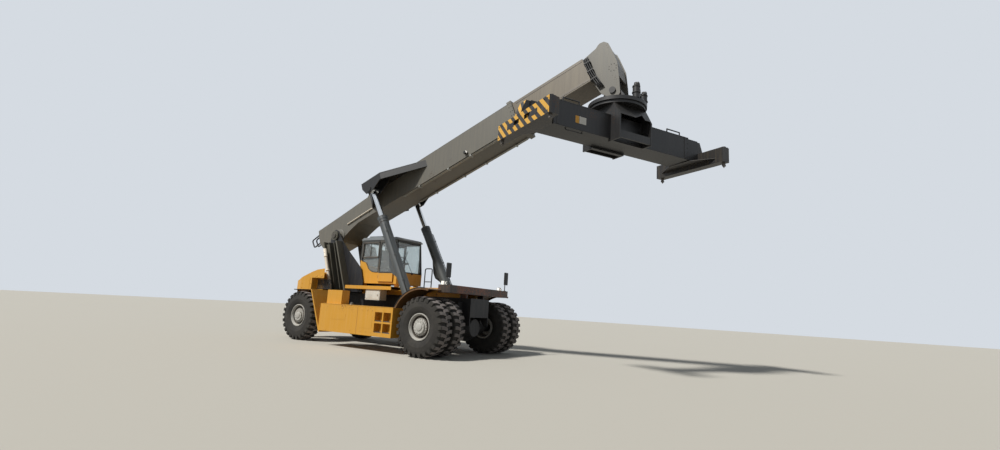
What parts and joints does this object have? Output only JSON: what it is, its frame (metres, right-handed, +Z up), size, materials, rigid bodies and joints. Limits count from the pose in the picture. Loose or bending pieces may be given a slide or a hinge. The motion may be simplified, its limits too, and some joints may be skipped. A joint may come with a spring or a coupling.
{
  "type": "reach stacker",
  "caption": "Wheeled container handler with a telescopic boom, two lift cylinders, a central cab and a turning, extending spreader with twistlocks.",
  "frame": {"origin": "on the ground, at the middle of the machine's length and width as it stands", "axes": "+X forward, +Y to the driver's left, +Z up"},
  "size_m": [14.9028, 6.4832, 9.0123],
  "materials": {
    "bare_steel": "worn",
    "boom_paint": "satin",
    "cab_glass": "clear",
    "cab_trim": "matt",
    "chromed_rod": "polished",
    "dark_paint": "satin",
    "lamp_lens": "clear",
    "pale_paint": "satin",
    "plastic": "matt",
    "rim_paint": "satin",
    "tyre_rubber": "matt",
    "yellow_paint": "satin"
  },
  "bodies": {
    "chassis": {"chassis_frame": "dark_paint", "deck": "dark_paint", "cab_platform": "yellow_paint", "drive_axle": "dark_paint", "steer_axle": "dark_paint", "engine_block": "dark_paint", "tank_right": "yellow_paint", "tank_left": "yellow_paint", "fender_right": "yellow_paint", "fender_left": "yellow_paint", "front_platform": "yellow_paint", "front_beam": "dark_paint", "counterweight": "yellow_paint", "boom_tower": "boom_paint", "electric_box": "pale_paint", "lamps": "lamp_lens", "mirrors": "plastic", "cab_body": "yellow_paint", "cab_frame": "boom_paint", "cab_roof": "boom_paint", "cab_glass": "cab_glass", "seat": "cab_trim", "console": "cab_trim"},
    "wheel_front_right": {"tyres_front_right": "tyre_rubber", "rims_front_right": "rim_paint"},
    "wheel_front_left": {"tyres_front_left": "tyre_rubber", "rims_front_left": "rim_paint"},
    "knuckle_right": {"knuckle_right": "dark_paint"},
    "knuckle_left": {"knuckle_left": "dark_paint"},
    "wheel_rear_right": {"tyre_rear_right": "tyre_rubber", "rim_rear_right": "rim_paint"},
    "wheel_rear_left": {"tyre_rear_left": "tyre_rubber", "rim_rear_left": "rim_paint"},
    "outer_boom": {"boom_outer": "boom_paint", "crosshead": "boom_paint", "boom_collar": "boom_paint"},
    "inner_boom": {"boom_inner": "boom_paint", "boom_nose": "boom_paint"},
    "lift_barrel_right": {"barrel_right": "boom_paint"},
    "lift_barrel_left": {"barrel_left": "boom_paint"},
    "lift_rod_right": {"rod_right": "chromed_rod"},
    "lift_rod_left": {"rod_left": "chromed_rod"},
    "hanger": {"hanger": "dark_paint", "slew_drives": "dark_paint"},
    "slew_tower": {"slew_tower": "dark_paint"},
    "spreader": {"spreader_beam": "dark_paint"},
    "arm_right": {"slide_beam_right": "dark_paint", "end_beam_right": "dark_paint"},
    "arm_left": {"slide_beam_left": "dark_paint", "end_beam_left": "dark_paint"},
    "lock_right_rear": {"lock_right_rear": "bare_steel"},
    "lock_right_front": {"lock_right_front": "bare_steel"},
    "lock_left_rear": {"lock_left_rear": "bare_steel"},
    "lock_left_front": {"lock_left_front": "bare_steel"},
    "cab_door": {"cab_door": "boom_paint", "door_pane": "cab_glass"}
  },
  "joints": [
    {"name": "spin_front_right", "type": "hinge", "parent": "chassis", "child": "wheel_front_right", "pos_m": [0.14857, -1.5375, 0.835], "axis": [0, 1, 0], "continuous": true},
    {"name": "spin_front_left", "type": "hinge", "parent": "chassis", "child": "wheel_front_left", "pos_m": [0.14857, 1.5375, 0.835], "axis": [0, 1, 0], "continuous": true},
    {"name": "steer_right", "type": "hinge", "parent": "chassis", "child": "knuckle_right", "pos_m": [-5.85143, -1.02, 0.835], "axis": [0, 0, 1], "range_deg": [-45, 45]},
    {"name": "steer_left", "type": "hinge", "parent": "chassis", "child": "knuckle_left", "pos_m": [-5.85143, 1.02, 0.835], "axis": [0, 0, 1], "range_deg": [-45, 45]},
    {"name": "spin_rear_right", "type": "hinge", "parent": "knuckle_right", "child": "wheel_rear_right", "pos_m": [-5.85143, -1.39, 0.835], "axis": [0, 1, 0], "continuous": true},
    {"name": "spin_rear_left", "type": "hinge", "parent": "knuckle_left", "child": "wheel_rear_left", "pos_m": [-5.85143, 1.39, 0.835], "axis": [0, 1, 0], "continuous": true},
    {"name": "boom_lift", "type": "hinge", "parent": "chassis", "child": "outer_boom", "pos_m": [-5.50143, 0, 3.76], "axis": [0, -1, 0], "range_deg": [-22, 38]},
    {"name": "boom_extend", "type": "slide", "parent": "outer_boom", "child": "inner_boom", "axis": [-0.9272, 0, -0.3746], "range_m": [-3.6, 1.6]},
    {"name": "lift_barrel_right", "type": "hinge", "parent": "chassis", "child": "lift_barrel_right", "pos_m": [-1.01143, -1.08, 1.26], "axis": [0, -1, 0], "range_deg": [-3, 6]},
    {"name": "lift_barrel_left", "type": "hinge", "parent": "chassis", "child": "lift_barrel_left", "pos_m": [-1.01143, 1.08, 1.26], "axis": [0, -1, 0], "range_deg": [-3, 6]},
    {"name": "lift_rod_right", "type": "slide", "parent": "lift_barrel_right", "child": "lift_rod_right", "axis": [-0.5002, 0, 0.8659], "range_m": [-0.992, 1.699]},
    {"name": "lift_rod_left", "type": "slide", "parent": "lift_barrel_left", "child": "lift_rod_left", "axis": [-0.5002, 0, 0.8659], "range_m": [-0.992, 1.699]},
    {"name": "hanger_level", "type": "hinge", "parent": "inner_boom", "child": "hanger", "pos_m": [4.91542, 0, 7.50168], "axis": [0, -1, 0], "range_deg": [-38, 22]},
    {"name": "spreader_turn", "type": "hinge", "parent": "hanger", "child": "slew_tower", "pos_m": [4.91542, 0, 7.10168], "axis": [0, 0, -1], "range_deg": [-124, 156]},
    {"name": "side_shift", "type": "slide", "parent": "slew_tower", "child": "spreader", "axis": [0.4848, 0.8746, 0], "range_m": [-0.8, 0.8]},
    {"name": "spreader_length", "type": "slide", "parent": "spreader", "child": "arm_left", "axis": [0.4848, 0.8746, 0], "range_m": [0, 3.066]},
    {"name": "arm_right_slide", "type": "slide", "parent": "spreader", "child": "arm_right", "axis": [-0.4848, -0.8746, 0], "range_m": [0, 3.066]},
    {"name": "twistlock_turn", "type": "hinge", "parent": "arm_right", "child": "lock_right_rear", "pos_m": [2.50904, -2.01043, 5.85], "axis": [0, 0, 1], "range_deg": [0, 90]},
    {"name": "twistlock_right_front", "type": "hinge", "parent": "arm_right", "child": "lock_right_front", "pos_m": [4.48568, -3.1061, 5.85], "axis": [0, 0, 1], "range_deg": [0, 90]},
    {"name": "twistlock_left_rear", "type": "hinge", "parent": "arm_left", "child": "lock_left_rear", "pos_m": [5.34517, 3.1061, 5.85], "axis": [0, 0, 1], "range_deg": [0, 90]},
    {"name": "twistlock_left_front", "type": "hinge", "parent": "arm_left", "child": "lock_left_front", "pos_m": [7.32181, 2.01043, 5.85], "axis": [0, 0, 1], "range_deg": [0, 90]},
    {"name": "cab_door", "type": "hinge", "parent": "chassis", "child": "cab_door", "pos_m": [-3.13143, -0.64, 2.76], "axis": [0, 0, -1], "range_deg": [0, 95]}
  ],
  "couplings": [
    {"joint": "steer_left", "follows": "steer_right", "ratio": 1},
    {"joint": "lift_barrel_right", "follows": "boom_lift", "ratio": 0.0959},
    {"joint": "lift_barrel_left", "follows": "boom_lift", "ratio": 0.0959},
    {"joint": "lift_rod_right", "follows": "boom_lift", "m_per_rad": 2.5315},
    {"joint": "lift_rod_left", "follows": "boom_lift", "m_per_rad": 2.5315},
    {"joint": "hanger_level", "follows": "boom_lift", "ratio": -1},
    {"joint": "arm_right_slide", "follows": "spreader_length", "ratio": 1},
    {"joint": "twistlock_right_front", "follows": "twistlock_turn", "ratio": 1},
    {"joint": "twistlock_left_rear", "follows": "twistlock_turn", "ratio": 1},
    {"joint": "twistlock_left_front", "follows": "twistlock_turn", "ratio": 1}
  ]
}
